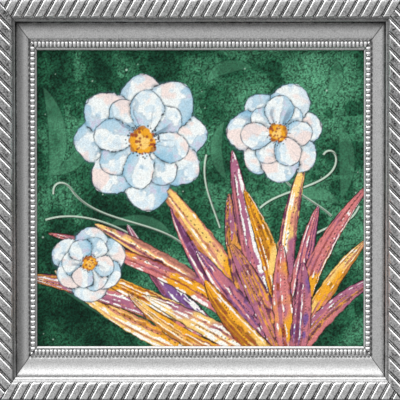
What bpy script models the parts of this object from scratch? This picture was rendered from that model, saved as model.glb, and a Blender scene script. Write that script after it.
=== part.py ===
"""A square art print in an ornate silver frame, ready to hang on a wall.

X runs to the right and Z up. The picture faces -Y, into the room, and the wall is the plane y = 0.
The origin is the point on the wall where the hanger's middle notch catches its nail.

The frame is four mitred lengths of one moulding. Across its width, from the outer edge inwards, the
moulding has a band of leaning gadroon ribs, a groove, a fillet, a hollow cove, a row of beads and a
sloping lip round the picture. The side lengths are narrower than the end ones, with the same section
drawn in, so the mitres are steeper than 45 degrees. A rabbet behind the lip holds the print, its mount
board and the backing board, which flat tabs keep in.
"""
import math

import bmesh
import bpy
from mathutils import Matrix, Vector

# Overall size, in metres
OUTER_SIZE = 0.406
END_RAIL_WIDTH = 0.0530  # top and bottom
SIDE_RAIL_WIDTH = 0.0385
GAP = 0.0003  # between pieces that touch

# Moulding section. Places across it are shares of the rail's width, from the outer edge inwards.
# Heights are in metres, forward from the back face.
BACK_CUT = 0.065  # the outer side slopes in towards the back
EDGE_HEIGHT = 0.0260
CREST_HEIGHT = 0.0298
BAND_END = 0.344
BAND_FOOT = 0.0268  # the slope that the ribs end on
FILLET_START = 0.388
FILLET_FOOT = 0.0252
FILLET_CREST = 0.395
FILLET_HEIGHT = 0.0253
COVE_START = 0.434
COVE_END = 0.750
COVE_TOP = 0.0237
COVE_FLOOR = 0.0148
COVE_STEPS = 6
LEDGE_START = 0.778  # a narrow ledge between the cove's floor and the beads
LEDGE_HEIGHT = 0.0142
BEADS_START = 0.815
BEADS_END = 0.955
BEAD_BASE = 0.0132
BEAD_CREST = 0.0174
BEAD_VALLEY = 0.0150
LIP_HEIGHT = 0.0120
RABBET_START = 0.885
RABBET_DEPTH = 0.0095

# Gadroon ribs. One rib is a groove and a broad face with two edges; places along it are shares of
# its pitch. On the top rail the ribs lean to the left on their way in.
END_RIBS = 36
SIDE_RIBS = 26
RIB_SHAPE = ((-0.11, 0.0), (0.11, 0.0), (0.21, 1.0), (0.79, 1.0))
RIB_RELIEF = 0.0009
RIB_LEAN = 0.88  # pitches, over the whole band
RIB_ROWS = (0.06, 0.50, 0.96)  # share of the band's width
BAND_FALL = 0.0013  # from the band's outer edge to its inner one

# Beads, more or less oval in plan
END_BEADS = 104
SIDE_BEADS = 76

# What the rabbet holds
PRINT_THICKNESS = 0.0005
MOUNT_BOARD_THICKNESS = 0.0030
BACKING_THICKNESS = 0.0025
BOARD_PLAY = 0.0010  # on each side, between the boards and the rabbet

# Tabs that keep the boards in, two on each rail
TAB_LENGTH = 0.015
TAB_WIDTH = 0.009
TAB_THICKNESS = 0.0005
TAB_PLACE = 0.45  # share of the picture's half side, from its middle
TAB_TIP_SIDES = 6

# Felt bumpers at the corners, between the frame and the wall
BUMPER_RADIUS = 0.006
BUMPER_THICKNESS = 0.0030
BUMPER_SIDES = 24
BUMPER_IN_X = 0.036
BUMPER_IN_Z = 0.024

# Sawtooth hanger on the top rail's back
HANGER_LENGTH = 0.045
HANGER_FOOT = 0.008  # flat end, where the nail goes
HANGER_RAMP = 0.002
HANGER_TOP = 0.0055  # above the notches
HANGER_TOOTH = 0.0018
HANGER_TEETH = 10  # even, so that a notch is in the middle
HANGER_THICKNESS = 0.0008
HANGER_BOW = 0.0012  # how far the middle stands off the frame
HANGER_DROP = 0.026  # the middle notch, down from the frame's top edge
NAIL_HEAD_RADIUS = 0.0018
NAIL_HEAD_THICKNESS = 0.0005
NAIL_SIDES = 12

# Worked out
STANDOFF = BUMPER_THICKNESS + GAP  # the frame's back face to the wall
CENTRE_Z = HANGER_DROP - OUTER_SIZE / 2
HALF = OUTER_SIZE / 2
POCKET_HALF_X = HALF - RABBET_START * SIDE_RAIL_WIDTH
POCKET_HALF_Z = HALF - RABBET_START * END_RAIL_WIDTH


def clear_scene():
    for obj in list(bpy.data.objects):
        bpy.data.objects.remove(obj, do_unlink=True)


def make_material(name, color, roughness, metallic):
    material = bpy.data.materials.new(name)
    material.use_nodes = True
    shader = material.node_tree.nodes["Principled BSDF"]
    shader.inputs["Base Color"].default_value = (*color, 1.0)
    shader.inputs["Roughness"].default_value = roughness
    shader.inputs["Metallic"].default_value = metallic
    material.diffuse_color = (*color, 1.0)
    return material


def add_object(name, bm, material, centre):
    """Turns a bmesh, drawn round the picture's middle, into an object under the centre empty."""
    bmesh.ops.recalc_face_normals(bm, faces=bm.faces)
    mesh = bpy.data.meshes.new(name)
    bm.to_mesh(mesh)
    bm.free()
    mesh.materials.append(material)
    obj = bpy.data.objects.new(name, mesh)
    bpy.context.scene.collection.objects.link(obj)
    obj.parent = centre
    return obj


# ---------------------------------------------------------------- moulding

def band_height(across):
    """Height of the band that the ribs are cut in, at a share of its width."""
    return CREST_HEIGHT - BAND_FALL * across**2


def straight_row(place, height):
    """A row of the moulding that runs straight, and needs points only at its ends."""
    return {"place": place, "height": height, "columns": None}


def rib_rows():
    """The ribbed band: its two straight borders, and the rows in between that rise and fall."""
    shares = (0.0,) + RIB_ROWS + (1.0,)
    rows = []
    for share in shares:
        on_border = share in (0.0, 1.0)
        columns = []
        for phase, rise in RIB_SHAPE:
            drop = 0.0 if on_border else RIB_RELIEF * (1.0 - rise)
            columns.append((phase - RIB_LEAN * share, -drop))
        border = EDGE_HEIGHT if share == 0.0 else BAND_FOOT
        height = border if on_border else band_height(share)
        rows.append({"place": BAND_END * share, "height": height, "columns": columns, "kind": "rib"})
    return rows


def bead_rows():
    """The beads: two straight borders, and a crest row that dips between one bead and the next."""
    middle = (BEADS_START + BEADS_END) / 2
    dip = BEAD_VALLEY - BEAD_CREST
    return [
        {"place": BEADS_START, "height": BEAD_BASE, "columns": [(0.0, 0.0), (0.5, 0.0)], "kind": "bead"},
        {"place": middle, "height": BEAD_CREST, "columns": [(0.0, dip), (0.5, 0.0)], "kind": "bead"},
        {"place": BEADS_END, "height": BEAD_BASE, "columns": [(0.0, 0.0), (0.5, 0.0)], "kind": "bead"},
    ]


def cove_rows():
    """The hollow, a quarter of an ellipse from the fillet's foot down to the flat floor."""
    rows = []
    for step in range(COVE_STEPS + 1):
        angle = math.pi / 2 * step / COVE_STEPS
        place = COVE_END - (COVE_END - COVE_START) * math.cos(angle)
        height = COVE_TOP - (COVE_TOP - COVE_FLOOR) * math.sin(angle)
        rows.append(straight_row(place, height))
    return rows


def moulding_rows():
    """The whole section as rows, from the back's outer corner over the front and round the rabbet."""
    rows = [straight_row(BACK_CUT, 0.0)]
    rows += rib_rows()
    rows.append(straight_row(FILLET_START, FILLET_FOOT))
    rows.append(straight_row(FILLET_CREST, FILLET_HEIGHT))
    rows += cove_rows()
    rows.append(straight_row(LEDGE_START, LEDGE_HEIGHT))
    rows += bead_rows()
    rows.append(straight_row(1.0, LIP_HEIGHT))
    rows.append(straight_row(1.0, RABBET_DEPTH))
    rows.append(straight_row(RABBET_START, RABBET_DEPTH))
    rows.append(straight_row(RABBET_START, 0.0))
    return rows


def row_points(row, width, counts):
    """One row's points as coordinates, left to right, running past both ends of the rail."""
    z = HALF - row["place"] * width
    if row["columns"] is None:
        reach = HALF * 1.2
        y = -STANDOFF - row["height"]
        return [Vector((-reach, y, z)), Vector((reach, y, z))]
    count = counts[row["kind"]]
    pitch = OUTER_SIZE / count
    points = []
    for index in range(-2, count + 3):
        for along, rise in row["columns"]:
            x = -HALF + (index + along) * pitch
            points.append(Vector((x, -STANDOFF - row["height"] - rise, z)))
    return points


def join_rows(bm, row_a, row_b, dense_pair):
    """Fills the strip between two rows: quads where both are dense, or else one flat face."""
    if not dense_pair:
        bm.faces.new(row_a + row_b[::-1])
        return
    for index in range(len(row_a) - 1):
        a0, a1 = row_a[index], row_a[index + 1]
        b0, b1 = row_b[index], row_b[index + 1]
        bm.faces.new((a0, b0, b1))
        bm.faces.new((a0, b1, a1))


def cut_mitre(bm, side, width, other_width):
    """Cuts one end of a top rail along its mitre, side +1 for the right end and -1 for the left."""
    normal = Vector((side * width, 0.0, -other_width)).normalized()
    corner = Vector((side * HALF, 0.0, HALF)) - normal * GAP / 2
    geometry = bm.verts[:] + bm.edges[:] + bm.faces[:]
    cut = bmesh.ops.bisect_plane(
        bm, geom=geometry, plane_co=corner, plane_no=normal, clear_outer=True, dist=1e-7
    )
    rim = [item for item in cut["geom_cut"] if isinstance(item, bmesh.types.BMEdge)]
    bmesh.ops.contextual_create(bm, geom=rim)


def make_rail(name, width, other_width, ribs, beads, turn, material, centre):
    """One length of moulding, drawn as the top rail and turned about Y to its side of the frame."""
    counts = {"rib": ribs, "bead": beads}
    rows = moulding_rows()
    bm = bmesh.new()
    rings = []
    for row in rows:
        rings.append([bm.verts.new(point) for point in row_points(row, width, counts)])
    for index, row in enumerate(rows):
        following = (index + 1) % len(rows)
        both_dense = row["columns"] is not None and rows[following]["columns"] is not None
        join_rows(bm, rings[index], rings[following], both_dense)
    for side in (-1, 1):
        cut_mitre(bm, side, width, other_width)
    rail = add_object(name, bm, material, centre)
    rail.rotation_euler = (0.0, turn, 0.0)
    return rail


# ---------------------------------------------------------------- flat pieces

def make_board(name, front, thickness, material, centre):
    """A board as large as the rabbet takes, with its front face that far in front of the back face."""
    bm = bmesh.new()
    bmesh.ops.create_cube(bm, size=1.0)
    size = Vector((2 * (POCKET_HALF_X - BOARD_PLAY), thickness, 2 * (POCKET_HALF_Z - BOARD_PLAY)))
    middle = Vector((0.0, -STANDOFF - front + thickness / 2, 0.0))
    bmesh.ops.scale(bm, vec=size, verts=bm.verts)
    bmesh.ops.translate(bm, vec=middle, verts=bm.verts)
    return add_object(name, bm, material, centre)


def extrude_outline(points, back, thickness):
    """A flat plate from an outline in X and Z, with its back at y = back and its front towards -Y."""
    bm = bmesh.new()
    face = bm.faces.new([bm.verts.new((x, back, z)) for x, z in points])
    moved = bmesh.ops.extrude_face_region(bm, geom=[face])["geom"]
    new_verts = [item for item in moved if isinstance(item, bmesh.types.BMVert)]
    bmesh.ops.translate(bm, vec=(0.0, -thickness, 0.0), verts=new_verts)
    return bm


def tab_outline():
    """A tab that points down from z = 0, with a round tip."""
    radius = TAB_WIDTH / 2
    points = [(-radius, 0.0)]
    for step in range(TAB_TIP_SIDES + 1):
        angle = math.pi + math.pi * step / TAB_TIP_SIDES
        points.append((radius * math.cos(angle), -TAB_LENGTH + radius + radius * math.sin(angle)))
    points.append((radius, 0.0))
    return points


def make_tabs(back, material, centre):
    """Two tabs on each rail, reaching in from the rabbet's wall over the back of the boards."""
    sides = (
        ("top", 0.0, POCKET_HALF_Z, POCKET_HALF_X),
        ("right", math.pi / 2, POCKET_HALF_X, POCKET_HALF_Z),
        ("bottom", math.pi, POCKET_HALF_Z, POCKET_HALF_X),
        ("left", -math.pi / 2, POCKET_HALF_X, POCKET_HALF_Z),
    )
    for side, turn, wall, half_side in sides:
        for number, way in ((1, -1), (2, 1)):
            bm = extrude_outline(tab_outline(), back, TAB_THICKNESS)
            shift = Vector((way * TAB_PLACE * half_side, 0.0, wall - GAP))
            bmesh.ops.translate(bm, vec=shift, verts=bm.verts)
            tab = add_object(f"tab_{side}_{number}", bm, material, centre)
            tab.rotation_euler = (0.0, turn, 0.0)


def make_disc(name, x, z, back, thickness, radius, sides, material, centre):
    """A round plate flat against the XZ plane, with its back at y = back."""
    bm = bmesh.new()
    turn = Matrix.Rotation(math.pi / 2, 4, "X")
    bmesh.ops.create_cone(
        bm, cap_ends=True, segments=sides, radius1=radius, radius2=radius, depth=thickness, matrix=turn
    )
    bmesh.ops.translate(bm, vec=(x, back - thickness / 2, z), verts=bm.verts)
    disc = add_object(name, bm, material, centre)
    disc.data.shade_smooth()
    disc.data.set_sharp_from_angle(angle=math.radians(40))
    return disc


def make_bumpers(material, centre):
    for end, way_z in (("top", 1), ("bottom", -1)):
        for side, way_x in (("left", -1), ("right", 1)):
            x = way_x * (HALF - BUMPER_IN_X)
            z = way_z * (HALF - BUMPER_IN_Z)
            name = f"bumper_{end}_{side}"
            make_disc(name, x, z, 0.0, BUMPER_THICKNESS, BUMPER_RADIUS, BUMPER_SIDES, material, centre)


def hanger_stations():
    """Places along the hanger as (x, how far it stands off the frame, lower edge below the notches)."""
    half = HANGER_LENGTH / 2
    ramp_foot = half - HANGER_FOOT
    toothed = ramp_foot - HANGER_RAMP
    stations = [(-half, 0.0, 0.0), (-ramp_foot, 0.0, 0.0)]
    for step in range(2 * HANGER_TEETH + 1):
        x = -toothed + 2 * toothed * step / (2 * HANGER_TEETH)
        stations.append((x, HANGER_BOW, HANGER_TOOTH if step % 2 else 0.0))
    stations += [(ramp_foot, 0.0, 0.0), (half, 0.0, 0.0)]
    return stations


def make_hanger(material, nail_material, centre):
    """A bowed steel strip with teeth along its lower edge, and the heads of its two nails."""
    notch_z = HALF - HANGER_DROP
    foot_back = -STANDOFF + GAP + HANGER_THICKNESS
    bm = bmesh.new()
    rings = []
    for x, bow, tooth in hanger_stations():
        back = foot_back + bow
        front = back - HANGER_THICKNESS
        top = notch_z + HANGER_TOP
        bottom = notch_z - tooth
        corners = ((x, back, top), (x, front, top), (x, front, bottom), (x, back, bottom))
        rings.append([bm.verts.new(corner) for corner in corners])
    for ring, following in zip(rings, rings[1:]):
        for index in range(4):
            after = (index + 1) % 4
            bm.faces.new((ring[index], ring[after], following[after], following[index]))
    bm.faces.new(rings[0])
    bm.faces.new(rings[-1])
    add_object("hanger", bm, material, centre)
    nail_back = foot_back + GAP + NAIL_HEAD_THICKNESS
    for side, way in (("left", -1), ("right", 1)):
        x = way * (HANGER_LENGTH - HANGER_FOOT) / 2
        z = notch_z + HANGER_TOP / 2
        name = f"hanger_nail_{side}"
        make_disc(
            name, x, z, nail_back, NAIL_HEAD_THICKNESS, NAIL_HEAD_RADIUS, NAIL_SIDES, nail_material, centre
        )


def make_contents(centre):
    """The print, its mount board and the backing board, and the tabs behind them."""
    paper = make_material("print_paper", (0.045, 0.155, 0.085), 0.62, 0.0)
    board = make_material("mount_board", (0.82, 0.80, 0.75), 0.85, 0.0)
    hardboard = make_material("backing_board", (0.23, 0.13, 0.07), 0.75, 0.0)
    tab_steel = make_material("tab_steel", (0.42, 0.42, 0.44), 0.38, 1.0)
    front = RABBET_DEPTH - GAP
    make_board("art_print", front, PRINT_THICKNESS, paper, centre)
    front -= PRINT_THICKNESS + GAP
    make_board("mount_board", front, MOUNT_BOARD_THICKNESS, board, centre)
    front -= MOUNT_BOARD_THICKNESS + GAP
    make_board("backing_board", front, BACKING_THICKNESS, hardboard, centre)
    front -= BACKING_THICKNESS + GAP
    make_tabs(-STANDOFF - front + TAB_THICKNESS, tab_steel, centre)


def main():
    clear_scene()
    centre = bpy.data.objects.new("picture_centre", None)
    bpy.context.scene.collection.objects.link(centre)
    centre.location = (0.0, 0.0, CENTRE_Z)

    silver = make_material("silver_leaf_paint", (0.58, 0.58, 0.59), 0.34, 0.85)
    end = (END_RAIL_WIDTH, SIDE_RAIL_WIDTH, END_RIBS, END_BEADS)
    side = (SIDE_RAIL_WIDTH, END_RAIL_WIDTH, SIDE_RIBS, SIDE_BEADS)
    make_rail("rail_top", *end, 0.0, silver, centre)
    make_rail("rail_right", *side, math.pi / 2, silver, centre)
    make_rail("rail_bottom", *end, math.pi, silver, centre)
    make_rail("rail_left", *side, -math.pi / 2, silver, centre)

    make_contents(centre)
    make_bumpers(make_material("bumper_felt", (0.16, 0.13, 0.11), 0.95, 0.0), centre)
    zinc = make_material("hanger_zinc", (0.55, 0.53, 0.48), 0.35, 1.0)
    nail_steel = make_material("nail_brass", (0.72, 0.54, 0.24), 0.32, 1.0)
    make_hanger(zinc, nail_steel, centre)


main()
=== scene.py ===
"""Looks of a square art print in an ornate silver frame.

All sizes are in metres, in the model's own frame: X right, Z up, the picture faces -Y.
"""
import math
from collections import namedtuple

import bmesh
import bpy
import numpy as np
from mathutils import Matrix, Vector


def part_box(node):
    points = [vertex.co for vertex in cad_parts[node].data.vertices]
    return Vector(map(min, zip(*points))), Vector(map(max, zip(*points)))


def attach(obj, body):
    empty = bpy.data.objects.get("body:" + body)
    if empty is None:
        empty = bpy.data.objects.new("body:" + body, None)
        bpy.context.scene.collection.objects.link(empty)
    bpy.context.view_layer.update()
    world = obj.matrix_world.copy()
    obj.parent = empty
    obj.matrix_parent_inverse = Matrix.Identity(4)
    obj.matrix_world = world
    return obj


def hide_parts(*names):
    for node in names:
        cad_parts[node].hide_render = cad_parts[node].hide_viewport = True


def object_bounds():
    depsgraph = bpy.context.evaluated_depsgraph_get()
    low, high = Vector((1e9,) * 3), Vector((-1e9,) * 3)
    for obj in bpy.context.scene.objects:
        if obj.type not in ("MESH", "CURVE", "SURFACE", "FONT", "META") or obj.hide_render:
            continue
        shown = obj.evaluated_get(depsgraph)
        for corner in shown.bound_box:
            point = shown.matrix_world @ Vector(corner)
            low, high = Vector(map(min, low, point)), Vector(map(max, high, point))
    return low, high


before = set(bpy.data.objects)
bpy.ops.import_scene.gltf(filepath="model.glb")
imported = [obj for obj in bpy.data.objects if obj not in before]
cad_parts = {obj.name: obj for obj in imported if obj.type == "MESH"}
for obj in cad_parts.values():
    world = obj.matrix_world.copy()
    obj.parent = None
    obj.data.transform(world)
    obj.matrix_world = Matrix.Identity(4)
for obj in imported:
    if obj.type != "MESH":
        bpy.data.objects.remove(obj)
cad_low, cad_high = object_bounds()

# ---- sizes from the frame

TOP_LOW, TOP_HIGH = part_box("rail_top")
LEFT_LOW, LEFT_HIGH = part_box("rail_left")
PRINT_LOW, PRINT_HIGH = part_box("art_print")
HALF = (cad_high.x - cad_low.x) / 2
END_WIDTH = TOP_HIGH.z - TOP_LOW.z  # the top and bottom rails
SIDE_WIDTH = LEFT_HIGH.x - LEFT_LOW.x
CENTRE_Z = (cad_high.z + cad_low.z) / 2
BACK_Y = TOP_HIGH.y  # the rails' back face

# its turn is about Y from the top rail, its ribs and beads are those of a full side, and its last field is
# painted shade added to the ribs' patina at the anticlockwise end and at the other one, darkening mostly
# the side rails
Rail = namedtuple("Rail", "side turn width other_width ribs beads tarnish")
RAILS = (
    Rail("top", 0.0, END_WIDTH, SIDE_WIDTH, 36, 104, (0.02, 0.0)),
    Rail("right", math.pi / 2, SIDE_WIDTH, END_WIDTH, 26, 76, (0.36, 0.14)),
    Rail("bottom", math.pi, END_WIDTH, SIDE_WIDTH, 36, 104, (0.0, 0.0)),
    Rail("left", -math.pi / 2, SIDE_WIDTH, END_WIDTH, 26, 76, (0.04, 0.32)),
)
OVERLONG = 1.2  # how much longer than its side of the frame a rail is before its mitres are cut
MITRE_GAP = 0.00036
MITRE_DIRT = 0.0006  # how far dirt reaches from the mitre
MITRE_PATINA = 0.7

# ---- moulding section
# Places are shares of the rail's width from its outer edge, heights are forward from its back face.

BACK_CUT = 0.065
BED = 0.0240  # the flat that the ribs are planted on
BAND_END = 0.344
COVE_POINTS = 32
COVE_DIRT = 1.5  # patina where the cove starts, which fades towards its foot
RABBET_PLACE = 0.885
RABBET_DEPTH = 0.0095
PAINTED_LIGHT_FROM_ABOVE = 0.82  # share of the patina taken off what faces straight up: painted light from above


def arc(centre, radii, start, end, steps):
    """Points on an ellipse's arc, angles in degrees, 0 towards the picture and 90 forward."""
    angles = np.radians(np.linspace(start, end, steps))
    return [(centre[0] + radii[0] * math.cos(a), centre[1] + radii[1] * math.sin(a)) for a in angles]


def cove_section():
    """The hollow between the ribbed band and the ledge, as (place, height, patina)."""
    rows = []
    for index, (place, height) in enumerate(arc((0.750, 0.0236), (0.314, 0.0088), 180, 262, COVE_POINTS)):
        share = index / (COVE_POINTS - 1)
        rows.append((place, height, min(1.0, COVE_DIRT * (1 - share) ** 2.3) + 0.20 * share**2))
    return rows


def body_section():
    """The plain part of the moulding as (place, height, patina) from the back's outer corner round."""
    outer_side = [(BACK_CUT, 0.0, 0.34), (0.003, 0.0225, 0.26), (0.003, 0.0236, 0.2), (0.006, BED, 0.5)]
    fillet = [(0.335, BED, 1.0), (0.339, 0.0266, 1.0), (BAND_END, 0.0268, 0.9), (0.349, 0.0268, 0.5)]
    fillet += [(0.384, 0.0254, 0.6), (0.389, 0.0252, 1.0), (0.393, 0.0253, 0.3), (0.398, 0.0252, 0.3)]
    fillet += [(0.430, 0.0240, 0.35), (0.434, 0.0237, 0.5)]
    ledge = [(0.760, 0.0146, 0.2), (0.769, 0.0145, 0.45), (0.789, 0.0139, 0.1), (0.793, 0.0137, 0.2)]
    bead_channel = [(0.803, 0.0134, 0.15), (0.811, 0.0132, 0.3), (0.955, 0.0131, 0.6), (0.961, 0.0131, 0.3)]
    lip = [(0.966, 0.0131, 0.0), (0.993, 0.0126, 0.0), (0.998, 0.0122, 0.0), (1.0, 0.0116, 0.1)]
    rabbet = [(1.0, RABBET_DEPTH, 0.5), (RABBET_PLACE, RABBET_DEPTH, 0.0), (RABBET_PLACE, 0.0, 0.0)]
    return outer_side + fillet + cove_section() + ledge + bead_channel + lip + rabbet


# ---- mesh helpers

# start and size of a strip's length, of its height and of the unseen faces' corner, in the bake's square
STRIP_LENGTH = (0.01, 0.97)
STRIP_HEIGHT = (0.02, 0.95)  # shares of its own part
UNSEEN = (0.993, 0.005)


def new_object(name, data):
    """A new object, linked to the scene."""
    item = bpy.data.objects.new(name, data)
    bpy.context.scene.collection.objects.link(item)
    return item


def new_piece(name, mesh, materials, replaces):
    """Adds a mesh as a piece on the one body, with its materials and the nodes it stands for."""
    for material in materials:
        mesh.materials.append(material)
    piece = new_object(name, mesh)
    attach(piece, "root")
    if replaces:
        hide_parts(*replaces)


def new_mesh(name, points, faces, **values):
    """A mesh from points and faces, with named values on each point."""
    mesh = bpy.data.meshes.new(name)
    mesh.from_pydata(points.tolist(), [], faces)
    for key, value in values.items():
        layer = mesh.attributes.new(key, "FLOAT", "POINT")
        layer.data.foreach_set("value", np.asarray(value, np.float32).ravel())
    return mesh


def read_array(items, key, width=1, kind=np.float32):
    """One property of every item, as an array."""
    values = np.empty(len(items) * width, kind)
    items.foreach_get(key, values)
    return values.reshape(-1, width) if width > 1 else values


def grid_index(rows, columns):
    """The numbers of a grid's points, row by row."""
    return np.arange(rows * columns).reshape(rows, columns)


def grid_faces(index):
    """Quads of a grid of numbered points."""
    corners = (index[:-1, :-1], index[:-1, 1:], index[1:, 1:], index[1:, :-1])
    return np.stack([corner.ravel() for corner in corners], axis=1).tolist()


def ring_faces(rings, sides, first=0):
    """Quads between rings of points, whose first point has a given number."""
    index = first + grid_index(rings, sides)
    return grid_faces(np.concatenate([index, index[:, :1]], axis=1))


def joined(parts):
    """The points and faces of several forms as one."""
    points = []
    faces = []
    for own_points, own_faces in parts:
        faces += [tuple(corner + len(points) for corner in face) for face in own_faces]
        points += list(own_points)
    return np.array(points), faces


def face_outward(mesh):
    """Turns the faces of closed forms to look outward."""
    bm = bmesh.new()
    bm.from_mesh(mesh)
    bmesh.ops.recalc_face_normals(bm, faces=bm.faces)
    bm.to_mesh(mesh)
    bm.free()


def shade(mesh, sharp):
    """Shades a mesh smooth, except across edges that bend by more than this many degrees."""
    mesh.shade_smooth()
    mesh.set_sharp_from_angle(angle=math.radians(sharp))
    return mesh


def set_layout(mesh, spots):
    """Gives each corner of a mesh its spot in the bake's square."""
    layer = mesh.uv_layers.new(name="OFBake")
    layer.data.foreach_set("uv", spots.astype(np.float32).ravel())


def lay_out(mesh, strips, mitre, hide_back):
    """Lays a length of moulding flat for the bake: its length in strips, one above another, each as
    wide as its unfolded section, and the faces that nobody sees in a corner."""
    vertex = read_array(mesh.loops, "vertex_index", kind=np.int32)
    totals = read_array(mesh.polygons, "loop_total", kind=np.int32)
    starts = np.cumsum(totals) - totals
    face = np.repeat(np.arange(len(totals)), totals)
    place = read_array(mesh.vertices, "co", 3)[vertex, 0] / (2 * HALF) + 0.5
    across = read_array(mesh.attributes["unfold"].data, "value")[vertex]
    spread = np.maximum.reduceat(across, starts) - np.minimum.reduceat(across, starts)
    across = np.where((spread[face] > 0.5) & (across < 0.5), 1.0, across)  # closes the section
    middle = np.add.reduceat(place, starts) / totals
    strip = np.clip(middle * strips, 0, strips - 1).astype(int)[face]
    u = STRIP_LENGTH[0] + STRIP_LENGTH[1] * (place * strips - strip)
    v = (strip + STRIP_HEIGHT[0] + STRIP_HEIGHT[1] * across) / strips
    normal = read_array(mesh.polygons, "normal", 3)
    hidden = np.abs(normal * (mitre.x, 0, mitre.z)).sum(axis=1) > 0.999  # the cut at either mitre
    if hide_back:
        hidden |= normal[:, 1] > 0.3
    unseen = UNSEEN[0] + UNSEEN[1] * np.stack([np.clip(place, 0, 1), across], 1)
    set_layout(mesh, np.where(hidden[face][:, None], unseen, np.stack([u, v], 1)))


def cut_mitre(bm, corner, normal):
    """Cuts a length of moulding off at a mitre, closes the cut and dirties its rim."""
    for reach, trim in ((MITRE_DIRT, False), (0.0, True)):
        cut = bmesh.ops.bisect_plane(
            bm, geom=bm.verts[:] + bm.edges[:] + bm.faces[:], plane_co=corner - normal * reach,
            plane_no=normal, clear_outer=trim, dist=1e-7,
        )
    rim = [item for item in cut["geom_cut"] if isinstance(item, bmesh.types.BMEdge)]
    bmesh.ops.holes_fill(bm, edges=rim, sides=0)
    patina = bm.verts.layers.float["patina"]
    for vert in bm.verts:
        if (vert.co - corner).dot(normal) > -0.1 * MITRE_DIRT:
            vert[patina] = max(vert[patina], MITRE_PATINA)


def cut_and_place(mesh, rail, sharp, strips=0, hide_back=True):
    """Mitres a length drawn on the top rail, then turns it to its side of the frame."""
    bm = bmesh.new()
    bm.from_mesh(mesh)
    for side in (-1, 1):
        normal = Vector((side * rail.width, 0.0, -rail.other_width)).normalized()
        cut_mitre(bm, Vector((side * HALF, 0.0, HALF)) - normal * MITRE_GAP / 2, normal)
    bmesh.ops.recalc_face_normals(bm, faces=bm.faces)
    bm.to_mesh(mesh)
    bm.free()
    if strips:
        lay_out(mesh, strips, normal, hide_back)
    mesh.transform(Matrix.Translation((0.0, 0.0, CENTRE_Z)) @ Matrix.Rotation(rail.turn, 4, "Y"))
    return shade(mesh, sharp)


# ---- frame

def body_mesh(name, rail):
    """The moulding without its ornament: one closed length, silver in front and bare wood behind."""
    section = np.array(body_section())
    points = np.zeros((3, len(section), 3))
    points[:, :, 0] = np.array([-OVERLONG, 0.0, OVERLONG])[:, None] * HALF
    points[:, :, 1] = BACK_Y - section[:, 1]
    points[:, :, 2] = HALF - section[:, 0] * rail.width
    inward = np.diff(section[:, 0], append=BACK_CUT) * rail.width
    steps = np.hypot(inward, np.diff(section[:, 1], append=0.0))
    unfold = (np.cumsum(steps) - steps) / steps.sum()
    values = {"patina": np.tile(section[:, 2], 3), "unfold": np.tile(unfold, 3)}
    mesh = new_mesh(name, points.reshape(-1, 3), ring_faces(3, len(section)), **values)
    cut_and_place(mesh, rail, sharp=38, strips=2, hide_back=False)
    # painted light: the patina is thinned on faces that look up, so that they read as lit from above
    patina = mesh.attributes["patina"].data
    facing_up = np.clip(read_array(mesh.vertices, "normal", 3)[:, 2], 0, 1)
    patina.foreach_set("value", read_array(patina, "value") * (1 - PAINTED_LIGHT_FROM_ABOVE * facing_up))
    behind = BACK_Y - RABBET_DEPTH - 0.0001
    bare = [abs(face.normal.y) > 0.9 and face.center.y > behind for face in mesh.polygons]
    mesh.polygons.foreach_set("material_index", np.array(bare, np.int32))
    return mesh


# One gadroon rib, at its nominal size before a rail's own count and width stretch it
RIB_PITCH = 0.0134
RIB_LENGTH = 0.0140  # across the band
RIB_FOOT = 0.405  # half a rib's width at its foot, in pitches
RIB_LEAN = 0.88  # pitches, over the whole band
SIDE_BEVEL = 0.0017
END_BEVEL = 0.00110
RIB_CORNER = 2.2  # bevels, the radius of the blunt corner at a rib's inner end
BEVEL_DROP = 0.00110
OUTER_ROUND = 0.0018
CORD_HALF = 0.0010
CORD_RISE = 0.00035
CORD_TWIST = 0.00007
CORD_TURNS = 8  # in a cord's length
CORD_SLANT = 5  # turns that its twist moves on over a pitch, from side to side
CREST = 0.0298
CREST_FALL = 0.0013
SLAB_DEPTH = 0.0006  # how far the ribs' slab is sunk into the bed

# phases over half a rib's pitch, closest at the cord's edge and at the bevel
HALF_RIB = (
    0, 0.03, 0.055, 0.075, 0.09, 0.10, 0.11, 0.13, 0.155, 0.18, 0.20, 0.212, 0.225, 0.25, 0.28, 0.33, 0.41,
)
ROUNDED_EDGE = (0.0, 0.003, 0.010, 0.02, 0.035, 0.055, 0.08, 0.11)  # shares across the band
SPARE_RIBS = 3  # past each end, for the lean


def ease(value, low, high):
    """0 below low, 1 above high, and an S-shaped rise between them."""
    t = np.clip((value - low) / (high - low), 0.0, 1.0)
    return t * t * (3 - 2 * t)


def band_top(across):
    """Height of the ribbed band's top, across from 0 at its rounded outer edge to 1."""
    inward = np.clip(OUTER_ROUND - across * RIB_LENGTH, 0.0, OUTER_ROUND)
    return CREST - CREST_FALL * across**2 - (OUTER_ROUND - np.sqrt(OUTER_ROUND**2 - inward**2))


def rib_rise(phase, side, end):
    """How far up its bevels a rib is, 0 to 1, this far in from its side and from its inner end, which
    has a blunt corner and a sharp one."""
    from_side = np.clip(RIB_CORNER - side / SIDE_BEVEL, 0, None)
    from_end = np.clip(RIB_CORNER - end / END_BEVEL, 0, None)
    blunt = RIB_CORNER - np.hypot(from_side, from_end)
    sharp = np.minimum(side / SIDE_BEVEL, end / END_BEVEL)
    return np.clip(np.where(phase > 0.5, blunt, sharp), 0.0, 1.0)


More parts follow.
